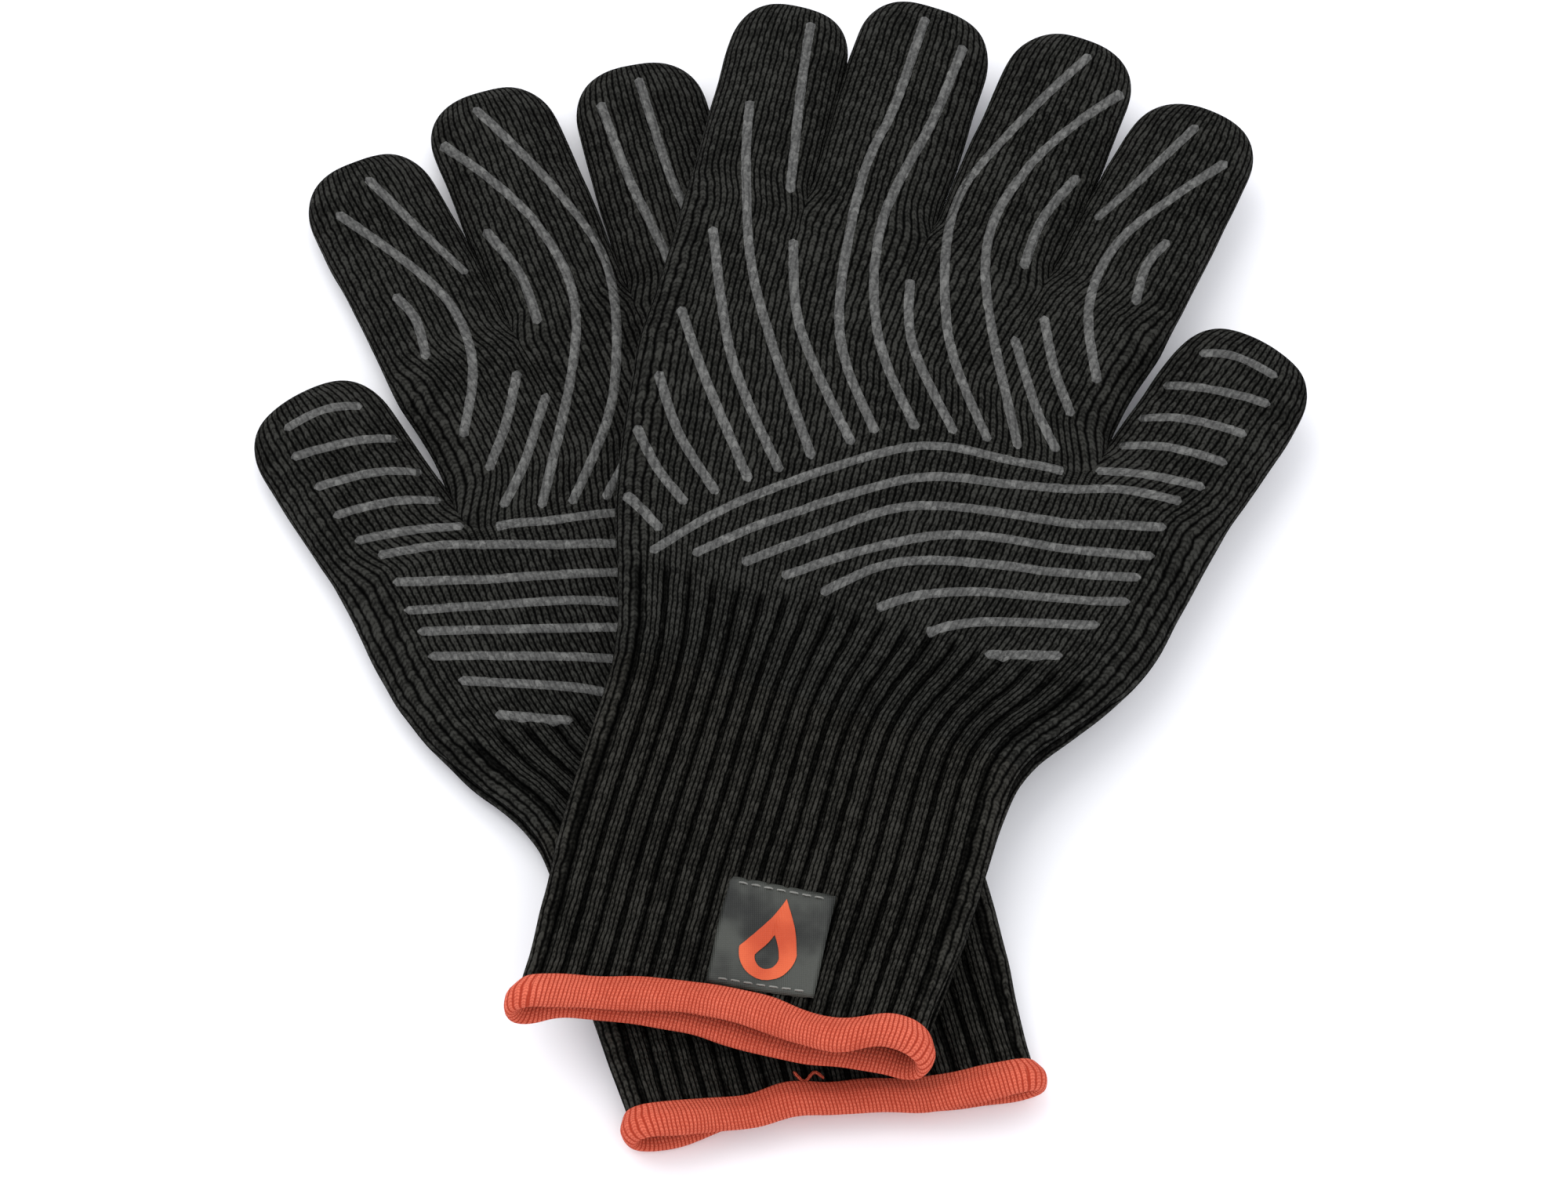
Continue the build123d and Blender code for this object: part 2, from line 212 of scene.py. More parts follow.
# %% The lips of the two mouths, from the little finger's side to the thumb's
LIPS = {
    "right": {
        "upper": [0.7, 0.42, 0.28, 0.26, 0.3, 0.32, 0.42, 0.75, 1.35, 1.5, 1.0],
        "lower": [0.8, 0.62, 0.6, 0.62, 0.66, 0.7, 0.75, 0.75, 0.7, 0.8, 0.9],
        "drop": [0.4, 0.5, 0.3, -0.3, -0.3, 0.1, 0.5, 0.3, 0.0, -0.4, -0.2],
        "front": [2.0, 4.0, 5.4, 6.9, 7.6, 7.2, 5.6, 2.6, 0.6, 3.6, 3.0],
        "back": [0.5, 4.2, 5.4, 6.0, 5.8, 4.4, 2.8, 2.0, 2.3, 2.6, 1.0],
    },
    "left": {
        "upper": [1.0, 0.85, 0.45, 0.25, 0.3, 0.22, 0.25, 0.3, 0.4, 0.8, 1.0],
        "lower": [0.9, 0.85, 0.75, 0.65, 0.7, 0.7, 0.66, 0.7, 0.7, 0.8, 0.85],
        "drop": [0.0, 0.5, 0.3, -0.3, -0.5, 0.2, 0.5, -0.3, 0.0, 0.3, 0.0],
        "front": [-2.0, -2.5, -2.5, -2.0, -0.5, 0.0, 1.2, -0.4, -0.3, -0.8, -0.5],
        "back": [0.5, 0.0, 0.0, 0.6, 2.4, 3.4, 4.2, 4.6, 2.0, 0.0, 0.0],
    },
}
LIP_FADE = 30.0  # how far up the cuff the waves of the mouth's edge are felt
MOUTH_REACH = 46.0  # how far up the cuff the lips' shape is felt


def lip(side, which, share):
    values = LIPS[side][which]
    return through(values, min(max(share, 0.0), 1.0) * (len(values) - 1))


print("right mouth's gape at the thumb's side:", round(lip("right", "upper", 0.85), 2))

# %% [markdown]
# ## One continuous skin
# The skin starts from a circle whose points are moved to the mouth of the cuff. Its edges are
# extruded row by row up the cuff and the palm. Where a digit leaves, a short web is drawn from the
# palm side to the back, which turns one ring into two. Each digit is extruded from its own ring,
# and at the tip its palm side is welded to its back, as a knitted fingertip is linked shut.

# %% Rows of the palm
CROWN = 0.05  # how much thicker the middle of a row is than its ends
SPLIT_START, SPLIT_LENGTH = 2.6, 1.6  # in stations from the last: where the thumb shows
THUMB_DIP, THUMB_DIP_REACH = 0.16, 3.0  # the dip beside the thumb, and how many columns wide
OPENED = 0.35  # share of the way to the knuckles over which the thumb's columns close up
INDEX_PULL = 1.5  # how far the index finger's side is drawn in between thumb and knuckle
VALLEY_DEPTH, VALLEY_REACH, VALLEY_POWER, VALLEY_START = 0.30, 2.2, 1.5, 0.45


def row_point(nodes, column):
    """A point of a row given by (column, x, y) nodes in order, straight between them."""
    for (c0, a), (c1, b) in zip(nodes, nodes[1:]):
        if column <= c1 or (c1, b) == nodes[-1]:
            return a.lerp(b, (column - c0) / (c1 - c0))


def ring_layout(last_column):
    """(column, up) for each vertex of a palm ring, from the front's left end round the back."""
    front = [(c, 1.0) for c in range(last_column + 1)]
    turn = [pi / 2 - pi * k / SIDE_STEPS for k in range(1, SIDE_STEPS)]
    right = [(last_column + SIDE_COLUMNS * cos(a), sin(a)) for a in turn]
    back = [(c, -1.0) for c in range(last_column, -1, -1)]
    left = [(-SIDE_COLUMNS * cos(a), sin(a)) for a in reversed(turn)]
    return front + right + back + left


def valley(column, depth):
    """How much the surface sinks between two fingers, felt a couple of columns either way."""
    nearest = min(abs(column - COLUMNS * k) for k in (1, 2, 3))
    return 1.0 - depth * max(0.0, 1.0 - nearest / VALLEY_REACH) ** VALLEY_POWER


def lower_rows(side):
    """Rings from the mouth of the cuff to where the thumb leaves."""
    rows, stations = [], STATIONS + [(SPLIT_ROWS, SPLIT_LEFT, SPLIT_RIGHT, HALF_THICKNESS)]
    counts, lefts, rights, thick = zip(*stations)
    lefts, rights = [Vector(p) for p in lefts], [Vector(p) for p in rights]
    last = ALL_COLUMNS + SIDE_COLUMNS
    places = [0.0] + [i + (k + 1) / n for i, n in enumerate(counts[1:]) for k in range(n)]
    for t in places:
        left, right = through(lefts, t), through(rights, t)
        crotch = left.lerp(right, (PALM_COLUMNS + SIDE_COLUMNS) / (last + SIDE_COLUMNS))
        split = smooth((t - len(stations) + SPLIT_START) / SPLIT_LENGTH)
        crotch = crotch.lerp(Vector(THUMB_CROTCH), split)
        nodes = [(-SIDE_COLUMNS, left), (PALM_COLUMNS, crotch), (last, right)]
        half = through(thick, t)
        ring = []
        for column, up in ring_layout(ALL_COLUMNS):
            p = row_point(nodes, column)
            share = (column + SIDE_COLUMNS) / (last + SIDE_COLUMNS)
            from_mouth = p.y - (lefts[0].y + share * (rights[0].y - lefts[0].y))
            near = smooth(1.0 - from_mouth / MOUTH_REACH)
            lips = lip(side, "upper" if up > 0 else "lower", share)
            height = half * up * (1.0 + near * (lips - 1.0)) * (1.0 + CROWN * sin(pi * share))
            beside_thumb = max(0.0, 1.0 - abs(column - PALM_COLUMNS) / THUMB_DIP_REACH)
            height *= 1.0 - THUMB_DIP * split * beside_thumb
            front, back = lip(side, "front", share), lip(side, "back", share)
            short = back + (front - back) * (1.0 + up) / 2
            short *= smooth(1.0 - from_mouth / LIP_FADE)
            drop = near * lip(side, "drop", share)
            ring.append(Vector((p.x, p.y + short, MID + height + drop)))
        rows.append(ring)
    return rows


def upper_rows():
    """Rings from above the thumb's crotch to the knuckles, without the thumb's columns."""
    last = PALM_COLUMNS + SIDE_COLUMNS
    low = [(-SIDE_COLUMNS, Vector(SPLIT_LEFT)), (last, Vector(THUMB_CROTCH))]
    corners = [Vector(KNUCKLE_START)] + [DIGITS[name]["end"] for name in DIGIT_ORDER]
    high = list(zip([-SIDE_COLUMNS, COLUMNS, 2 * COLUMNS, 3 * COLUMNS, last], corners))
    rows = []
    for k in range(1, KNUCKLE_ROWS + 1):
        w = k / KNUCKLE_ROWS
        closing = 1 - smooth(w / OPENED)
        ring = []
        for column, up in ring_layout(PALM_COLUMNS):
            inner = min(column, PALM_COLUMNS)
            reach = min(column + SIDE_COLUMNS * closing * inner / PALM_COLUMNS, last)
            p = row_point(low, reach).lerp(row_point(high, reach), w)
            p.x -= INDEX_PULL * sin(pi * w) * max(0.0, 2 * column / PALM_COLUMNS - 1)
            depth = VALLEY_DEPTH * smooth((w - VALLEY_START) / (1 - VALLEY_START))
            height = HALF_THICKNESS * up * valley(column, depth)
            ring.append(Vector((p.x, p.y, MID + height)))
        rows.append(ring)
    return rows


print(len(lower_rows("right")), "rings below the thumb's crotch,", len(upper_rows()), "above it")

# %% [markdown]
# ### Growing the tube
# This extrudes a loop of edges once and moves the new points to the next ring. Each face gets its
# part number, so that the skin can be cut later, and UV coordinates that count wales round the tube
# and millimetres along it.

# %% Extrude a ring
def ring_edges(loop):
    pairs = zip(loop, loop[1:] + loop[:1])
    return [next(e for e in a.link_edges if e.other_vert(a) is b) for a, b in pairs]


def grow(bm, uv, loop, targets, part, wales, v0, v1):
    """Extrudes a closed loop of vertices to the target points. Returns the new loop."""
    made = bmesh.ops.extrude_edge_only(bm, edges=ring_edges(loop))
    new = {g for g in made["geom"] if isinstance(g, bmesh.types.BMVert)}
    faces = [g for g in made["geom"] if isinstance(g, bmesh.types.BMFace)]
    above = [next(e.other_vert(v) for e in v.link_edges if e.other_vert(v) in new) for v in loop]
    place = {}
    for i, (old, fresh) in enumerate(zip(loop, above)):
        fresh.co = targets[i]
        place[old], place[fresh] = (i, v0), (i, v1)
    size = len(loop)
    for face in faces:
        face.material_index = PARTS.index(part)
        face.smooth = True
        columns = [place[l.vert][0] for l in face.loops]
        wraps = max(columns) - min(columns) > 1
        for corner, column in zip(face.loops, columns):
            step = size if wraps and column == 0 else column
            u = wales[step] if step < size else wales[0] + (wales[1] - wales[0]) * size
            corner[uv].uv = (u, place[corner.vert][1])
    return above


def loop_gap(a, b):
    return sum((q - p).length for p, q in zip(a, b)) / len(a)


# %% [markdown]
# ### Digits
# A digit's first ring lies on its root, shared with the palm. Over the next centimetre the ring
# turns into an evenly rounded tube, and it ends in a broad, round tip.

# %% The rings of one digit
ROOT_EASE = 11.0  # length over which a root becomes round
ROW_LENGTH, LEAST_ROWS = 5.0, 8  # of the straight part
TIP_ROWS, TIP_TURN = 6, radians(58)
SIDE_GIVE = 1.1  # what a digit gives up on each side at its root
SWELL = 0.3  # how much wider a digit's middle is
SLIM, SWELL_PLACE = 0.94, 1.3  # its thickness as a share of the palm's; thickest before its middle
TIP_POWER = 2.7  # 2 is a round fingertip; more is squarer
TIP_CLOSE, TIP_ARC = 2.4, 1.5  # how late the tip thins, and its rows become arcs
TIP_PULL = 2.0  # what pushing the sides out will add to a digit's length


def digit_rings(name, first):
    """Target rings of a digit, from its root ring's points, with the distance along of each."""
    digit = DIGITS[name]
    steps = len(first)
    radius = digit["tip"] / 2
    straight = digit["length"] - radius - TIP_PULL
    rows = max(LEAST_ROWS, round(straight / ROW_LENGTH))
    root_half = digit["width"] / 2 - SIDE_GIVE
    rings = []

    def world(across, along, up):
        flat = digit["root"] + digit["across"] * across + digit["along"] * along
        return Vector((flat.x, flat.y, MID + up))

    def rounded(half, thick, along, bulge=None):
        ring = pillow_ring(half, thick, steps)
        ring = ring[SIDE_STEPS // 2:] + ring[:SIDE_STEPS // 2]
        return [world(p.x, along if bulge is None else bulge(p.x), p.y) for p in ring]

    for k in range(1, rows + 1):
        t = k / rows
        along = straight * t
        half = root_half + (radius - root_half) * smooth(t) + SWELL * sin(pi * t)
        thick = HALF_THICKNESS * (SLIM + (1 - SLIM) * sin(pi * min(1, t * SWELL_PLACE)))
        ease = smooth(along / ROOT_EASE)
        ring = rounded(half, thick, along)
        if ease < 1:
            moved = [p + Vector((*(digit["along"] * along), 0)) for p in first]
            ring = [a.lerp(b, ease) for a, b in zip(moved, ring)]
        rings.append((along, ring))
    for k in range(1, TIP_ROWS + 1):
        f = k / TIP_ROWS
        turn = TIP_TURN * f
        half = radius * cos(turn) ** (2 / TIP_POWER)
        rise = sin(turn) ** (2 / TIP_POWER)

        def bulge(x, rise=rise, f=f):
            arc = max(0.0, 1.0 - min(1.0, abs(x) / radius) ** TIP_POWER) ** (1 / TIP_POWER)
            return straight + radius * (rise + f ** TIP_ARC * (arc - rise))

        thick = HALF_THICKNESS * SLIM * sqrt(max(0.0, 1.0 - f ** TIP_CLOSE))
        rings.append((straight + radius * f, rounded(half, thick, None, bulge)))
    return rings


print("an index finger has", len(digit_rings("index", [Vector()] * 24)), "rings beyond its root")

# %% [markdown]
# ### The whole skin
# The palm's tube is grown first, then the webs, then the digits.

# %% Build the skin
def web(bm, front, back):
    """Points of a web from the palm side to the back, between two digits."""
    edge, points, here = bm.edges.new((front, back)), [], front
    for k in range(SIDE_STEPS, 1, -1):
        edge_pair = bmesh.utils.edge_split(edge, here, 1 / k)
        points.append(edge_pair[1])
        here = edge_pair[1]
        edge = next(e for e in here.link_edges if e.other_vert(here) is back)
    return points


def grow_digit(bm, uv, name, loop, wales, start):
    rings = digit_rings(name, [v.co.copy() for v in loop])
    before = start
    for along, targets in rings:
        loop = grow(bm, uv, loop, targets, name, wales, before, start + along)
        before = start + along
    turn = COLUMNS + SIDE_STEPS  # where the back starts
    front, back = loop[:COLUMNS + 1], loop[turn:turn + COLUMNS + 1]
    targets = dict(zip(back, reversed(front)))
    targets.update({v: front[-1] for v in loop[COLUMNS + 1:turn]})
    targets.update({v: front[0] for v in loop[turn + COLUMNS + 1:]})
    bmesh.ops.weld_verts(bm, targetmap=targets)


def build_skin(side):
    """The whole skin of a right glove in its flat frame, in millimetres."""
    bm = bmesh.new()
    uv = bm.loops.layers.uv.new("wales")
    rows = lower_rows(side)
    bmesh.ops.create_circle(bm, segments=len(rows[0]), radius=1.0)
    bm.verts.ensure_lookup_table()
    loop = list(bm.verts)
    for v, p in zip(loop, rows[0]):
        v.co = p
    wales = list(range(len(loop)))
    along = 0.0
    for before, targets in zip(rows, rows[1:]):
        step = loop_gap(before, targets)
        middle = sum(p.y for p in targets) / len(targets)
        part = "cuff" if middle < WRIST_LINE + 0.5 else "palm"
        loop = grow(bm, uv, loop, targets, part, wales, along, along + step)
        along += step
    thumb_back = ALL_COLUMNS + SIDE_STEPS + COLUMNS
    thumb_web = web(bm, loop[PALM_COLUMNS], loop[thumb_back])
    palm_loop = loop[:PALM_COLUMNS + 1] + thumb_web + loop[thumb_back:]
    palm_wales = list(range(len(palm_loop)))
    thumb_loop = loop[PALM_COLUMNS:thumb_back + 1] + thumb_web[::-1]
    grow_digit(bm, uv, "thumb", thumb_loop, digit_wales(PALM_COLUMNS), along)
    for targets in upper_rows():
        here = [v.co.copy() for v in palm_loop]
        step = loop_gap(here, targets)
        palm_loop = grow(bm, uv, palm_loop, targets, "palm", palm_wales, along, along + step)
        along += step
    first_back = PALM_COLUMNS + SIDE_STEPS
    webs = [palm_loop[first_back + PALM_COLUMNS + 1:]]
    for k in (1, 2, 3):
        back = palm_loop[first_back + PALM_COLUMNS - k * COLUMNS]
        webs.append(web(bm, palm_loop[k * COLUMNS], back)[::-1])
    webs.append(palm_loop[PALM_COLUMNS + 1:first_back][::-1])
    for k, name in enumerate(DIGIT_ORDER):
        front = palm_loop[k * COLUMNS:(k + 1) * COLUMNS + 1]
        low = first_back + PALM_COLUMNS - (k + 1) * COLUMNS
        ring = front + webs[k + 1][::-1] + palm_loop[low:low + COLUMNS + 1] + webs[k]
        grow_digit(bm, uv, name, ring, digit_wales(k * COLUMNS), along)
    bmesh.ops.recalc_face_normals(bm, faces=bm.faces)
    return bm


def digit_wales(first):
    """Column numbers round a digit whose palm side starts at a column of the palm."""
    return [first + k for k in range(2 * COLUMNS + 2 * SIDE_STEPS)]


for side in LAYS:
    trial = build_skin(side)
    print(side, "skin:", len(trial.verts), "points,", len(trial.faces), "faces,",
          sum(1 for e in trial.edges if e.is_boundary), "open edges")
    trial.free()

# %% [markdown]
# ## From pattern to cloth
# Two rounds of subdivision turn the pattern into a smooth surface with a face for about every
# millimetre. The ribs of the cuff are real furrows, so they are pressed into the mesh here. The
# soft lumps that a glove keeps from being packed come from two sizes of smooth noise.

# %% Subdivide, rib and soften
RIB_PITCH = 2.2  # in columns, so that a whole number of ribs goes round the cuff
RIB_TOP, RIB_FADE, RIB_DEPTH = 54.0, 7.0, 1.25
FURROW = 0.31  # half a furrow's width, as a share of the pitch
RIB_WANDER, WANDER_SIZE = 0.5, (40, 45, 0.3)  # how far a rib strays, over what lengths
LUMPS = ((30.0, 0.75), (11.0, 0.28))  # (size, height) in millimetres
SEEDS = {"left": 37.0, "right": 5.0}
SIDE_GAIN, MOUTH_GAIN, GAIN_REACH = 2.6, 0.5, 50.0
BAND_COVER, BAND_HOLD = 6.0, 0.4  # under the band the knit is held flat
LOWEST = 0.15  # the lower glove stays just above the floor
DROOP, DROOP_START, DROOP_REACH = 6.0, 4.0, 46.0
RESTING_EDGE = [(-54, 28, 0), (-77, 190, 0)]  # the lower glove's outer side, in its flat frame


def mesh_of(bm, name):
    mesh = bpy.data.meshes.new(name)
    bm.to_mesh(mesh)
    bm.free()
    return mesh


def placed(name, data):
    item = bpy.data.objects.new(name, data)
    bpy.context.scene.collection.objects.link(item)
    return item


def subdivided(bm, levels, name):
    mesh = mesh_of(bm, name)
    work = placed(name, mesh)
    modifier = work.modifiers.new("smooth", "SUBSURF")
    modifier.levels = modifier.render_levels = levels
    evaluated = work.evaluated_get(bpy.context.evaluated_depsgraph_get())
    result = bpy.data.meshes.new_from_object(evaluated)
    bpy.data.objects.remove(work)
    bpy.data.meshes.remove(mesh)
    return result


def pattern_places(mesh):
    """The (column, millimetres along) of every vertex, read from its UV coordinates."""
    places = [(0.0, 0.0)] * len(mesh.vertices)
    layer = mesh.uv_layers["wales"].data
    for corner in mesh.loops:
        places[corner.vertex_index] = tuple(layer[corner.index].uv)
    return places


def fatten(mesh):
    """Subdividing pulls the folded sides in, so they are pushed back out to the glove's width."""
    moves = []
    for v, (_, along) in zip(mesh.vertices, pattern_places(mesh)):
        share = 1.0 if v.co.y > GAIN_REACH else smooth(along / GAIN_REACH)
        gain = MOUTH_GAIN + (SIDE_GAIN - MOUTH_GAIN) * share
        moves.append(Vector((v.normal.x, v.normal.y, 0)) * gain)
    for v, move in zip(mesh.vertices, moves):
        v.co += move


def rib_height(column, wobble):
    """0 on a rib, down to -1 in the furrow between two."""
    phase = (column + wobble) / RIB_PITCH
    return smooth(abs(phase - round(phase)) / FURROW) - 1.0


def droop(side, p):
    """How far the upper glove has sunk where nothing holds it up from below."""
    if side == "left":
        return 0.0
    a, b = (lay_matrix("left") @ Vector(q) for q in RESTING_EDGE)
    away = lay_matrix(side) @ p - a
    edge = (b - a).normalized()
    beyond = (edge.y * away.x - edge.x * away.y) / MM
    return DROOP * smooth((beyond - DROOP_START) / DROOP_REACH)


def weather(mesh, side):
    """Presses the ribs and the soft lumps into a skin, in its flat frame."""
    seed, moves = SEEDS[side], []
    wide, long, slice_height = WANDER_SIZE
    # painted shade: 1 outside the rib furrows, down to 0 at a furrow's bottom; the knit's colour is
    # darkened by it
    furrow_light = mesh.attributes.new("furrow_light", "FLOAT", "POINT").data
    for v, (column, along) in zip(mesh.vertices, pattern_places(mesh)):
        p, amount, furrow = v.co, 0.0, 0.0
        for size, height in LUMPS:
            amount += height * noise.noise(Vector((p.x / size + seed, p.y / size, p.z / size)))
        ribbed = 1.0 - smooth((p.y - RIB_TOP + RIB_FADE) / RIB_FADE)
        if ribbed > 0:
            place = Vector((p.x / wide + seed, p.y / long, slice_height))
            furrow = ribbed * rib_height(column, RIB_WANDER * noise.noise(place))
            amount += RIB_DEPTH * furrow
        furrow_light[v.index].value = 1.0 + furrow
        if p.y < RIB_TOP:
            amount *= smooth(along / BAND_COVER - BAND_HOLD)
        moves.append(v.normal * amount - Vector((0, 0, droop(side, p))))
    for v, move in zip(mesh.vertices, moves):
        v.co += move
        if side == "left":
            v.co.z = max(v.co.z, LOWEST)


def make_skin(side):
    mesh = subdivided(build_skin(side), 2, f"{side}_skin")
    fatten(mesh)
    mesh.update()
    weather(mesh, side)
    return mesh


skins = {side: make_skin(side) for side in LAYS}
print({side: len(mesh.polygons) for side, mesh in skins.items()})

# %% [markdown]
# ## Materials
# Every yarn here is matte and slightly fuzzy, so the knit shows by its relief and by the dark gaps
# between stitches, not by gloss. One function adds a node with its settings and links, and one
# turns an sRGB hex code to the linear colour that a shader expects.

# %% Helpers for materials
def linear(code):
    values = [int(code[i:i + 2], 16) / 255 for i in (1, 3, 5)]
    return (*[v / 12.92 if v < 0.04045 else ((v + 0.055) / 1.055) ** 2.4 for v in values], 1.0)


def add(tree, kind, settings=(), **inputs):
    """Adds a node. Settings are attributes; inputs are values or sockets, by name or i0, i1, ..."""
    node = tree.nodes.new("ShaderNode" + kind)
    for key, value in dict(settings).items():
        setattr(node, key, value)
    for key, value in inputs.items():
        named = key.replace("_", " ")
        socket = node.inputs[int(key[1:])] if key[1:].isdigit() else node.inputs[named]
        if isinstance(value, bpy.types.NodeSocket):
            tree.links.new(value, socket)
        else:
            socket.default_value = value
    return node


def maths(tree, operation, a, b=0.0):
    return add(tree, "Math", {"operation": operation}, i0=a, i1=b).outputs[0]


def times(tree, a, b):
    return maths(tree, "MULTIPLY", a, b)


def plus(tree, a, b):
    return maths(tree, "ADD", a, b)


def clouds(tree, place, scale, detail):
    return add(tree, "TexNoise", Vector=place, Scale=scale, Detail=detail).outputs["Fac"]


def ramp(tree, value, low, high, to_low=0.0, to_high=1.0):
    """A smooth step from one value to another."""
    ends = {"From_Min": low, "From_Max": high, "To_Min": to_low, "To_Max": to_high}
    kind = {"interpolation_type": "SMOOTHSTEP"}
    return add(tree, "MapRange", kind, Value=value, **ends).outputs[0]


def blank(name, roughness, sheen=0.0, sheen_colour="#ffffff"):
    material = bpy.data.materials.new(name)
    material.use_nodes = True
    shader = material.node_tree.nodes["Principled BSDF"]
    shader.inputs["Roughness"].default_value = roughness
    shader.inputs["IOR"].default_value = 1.45
    shader.inputs["Sheen Weight"].default_value = sheen
    shader.inputs["Sheen Tint"].default_value = linear(sheen_colour)
    return material, material.node_tree, shader


print("a mid grey of #808080 is", round(linear("#808080")[0], 3), "linear")

# %% [markdown]
# ### Knit
# In plain knit each wale is a chain of V-shaped stitches, one V to a course, whose two legs rise
# away from its middle. The pattern follows the mesh's own UV map, which counts columns round the
# tube and millimetres along it. The real pitch is about two millimetres across and one and a half
# along.

# %% The knit pattern
DRIFT_SCALE, DRIFT = 220.0, 0.72  # how stitches stray from their places, about every 5 mm
ROW_DRIFT = 1.3  # how much more they stray along than across
SLANT = 0.55  # how far a leg rises from the middle of its V, in courses
LEG_DEPTH = 0.4  # how much a stitch sinks between two courses, as a share of its height
GAP = 0.12  # height in the gap between two wales
# fibres are finer than a millimetre; the uneven wear of a used glove is centimetres wide
FIBRE_SCALE, WEAR_SCALE = 1500.0, 55.0
FIBRE_RELIEF = 0.25  # share of the stitches' own relief


def knit_relief(tree, wales, course):
    """(height of a plain knit from 0 to 1, Object coordinates, a random number for each stitch)."""
    place = add(tree, "UVMap", {"uv_map": "wales"}).outputs[0]
    split = add(tree, "SeparateXYZ", Vector=place)
    body = add(tree, "TexCoord").outputs["Object"]
    drift = maths(tree, "SUBTRACT", clouds(tree, body, DRIFT_SCALE, 2.0), 0.5)
    drift = times(tree, drift, DRIFT)
    across = plus(tree, times(tree, split.outputs[0], wales), drift)
    middle = times(tree, maths(tree, "PINGPONG", across, 0.5), 2.0)
    along = maths(tree, "DIVIDE", split.outputs[1], course)
    phase = maths(tree, "SUBTRACT", along, times(tree, middle, SLANT))
    phase = plus(tree, phase, times(tree, drift, ROW_DRIFT))
    leg = ramp(tree, times(tree, maths(tree, "PINGPONG", phase, 0.5), 2.0), 0.0, 0.8)
    leg = plus(tree, times(tree, leg, LEG_DEPTH), 1.0 - LEG_DEPTH)
    wall = ramp(tree, middle, 0.05, 0.6, GAP, 1.0)
    crease = ramp(tree, middle, 0.8, 1.0, 1.0, 0.8)
    height = times(tree, times(tree, wall, leg), crease)
    column, row = (maths(tree, "FLOOR", value) for value in (across, phase))
    cell = add(tree, "CombineXYZ", i0=column, i1=row).outputs[0]
    chance = add(tree, "TexWhiteNoise", {"noise_dimensions": "2D"}, Vector=cell)
    return height, body, chance.outputs["Value"]


def knit_material(
    name, dark, light, wales, course, relief=0.45, fleck=0.6, shine=0.1, sheen=0.0, uneven=1.2
):
    """A knitted yarn: black between stitches, paler on top, flecked where fibres catch light."""
    material, tree, shader = blank(name, 0.9, sheen, light)
    height, body, chance = knit_relief(tree, wales, course)
    fibre = ramp(tree, clouds(tree, body, FIBRE_SCALE, 3.0), 0.35, 0.72)
    chosen = times(tree, maths(tree, "POWER", chance, 3.0), uneven)
    worn = ramp(tree, clouds(tree, body, WEAR_SCALE, 3.0), 0.3, 0.7, 0.75, 1.2)
    # painted shade: how deep a point lies in a rib's furrow, read from the skin
    raised = add(tree, "Attribute", {"attribute_name": "furrow_light"}).outputs["Fac"]
    shade = plus(tree, times(tree, fibre, fleck), 1 - fleck / 2)
    shade = times(tree, shade, plus(tree, chosen, 1 - uneven / 4))
    shade = times(tree, maths(tree, "POWER", height, 1.5), shade)
    shade = times(tree, shade, worn)
    # painted shade in the rib furrows: the colour falls to 0.15 of itself at a furrow's bottom and
    # rises to 1.1 outside
    shade = times(tree, shade, ramp(tree, raised, 0.05, 0.9, 0.15, 1.1))
    colour_between(tree, shader, shade, dark, light)
    tree.links.new(times(tree, shade, shine), shader.inputs["Specular IOR Level"])
    press(tree, shader, plus(tree, height, times(tree, fibre, FIBRE_RELIEF)), relief)
    return material


def colour_between(tree, shader, share, low, high):
    mix = add(tree, "Mix", {"data_type": "RGBA"}, i0=share)
    mix.inputs[6].default_value, mix.inputs[7].default_value = linear(low), linear(high)
    tree.links.new(mix.outputs[2], shader.inputs["Base Color"])


def press(tree, shader, height, depth):
    """Bumps a surface by a height from 0 to 1 that stands for a depth in millimetres."""
    bump = add(tree, "Bump", Height=height, Strength=1.0, Distance=depth * MM)
    tree.links.new(bump.outputs[0], shader.inputs["Normal"])


materials = {
    # aramid, plain knit: soot black with paler stitch tops, no gloss at all
    "knit": knit_material("aramid_plain_knit", "#020202", "#31312d", 2.0, 1.6),
    # the same yarn drawn together by the rib: closer stitches; its furrows are darkened with
    # painted shade
    "rib": knit_material("aramid_rib_knit", "#020202", "#33322d", 2.0, 1.5),
    # brushed cotton: even and soft, no visible stitch gaps
    "cotton": knit_material("cotton_lining_knit", "#060606", "#1e1e1c", 2.0, 1.8, relief=0.25),
    # dyed yarn of the band: bright, with fine stitches across it
    "band": knit_material(
        "dyed_band_knit", "#9c3322", "#dc6a50", 1.2, 0.9,
        relief=0.25, fleck=0.3, shine=0.4, sheen=0.3, uneven=0.3,
    ),
}


def silicone():
    """Printed silicone: a rubbery grey skin soaked into the knit, so the stitches show through."""
    material, tree, shader = blank("printed_silicone", 0.5)
    height, body, chance = knit_relief(tree, 2.0, 1.6)
    mottle = ramp(tree, clouds(tree, body, 900.0, 4.0), 0.4, 0.75, 0.0, 0.5)
    shade = plus(tree, times(tree, height, 0.35), mottle)
    shade = plus(tree, shade, times(tree, maths(tree, "POWER", chance, 4.0), 0.5))
    colour_between(tree, shader, shade, "#2b2b29", "#6c6c68")
    shader.inputs["Specular IOR Level"].default_value = 0.25
    press(tree, shader, shade, 0.35)
    return material


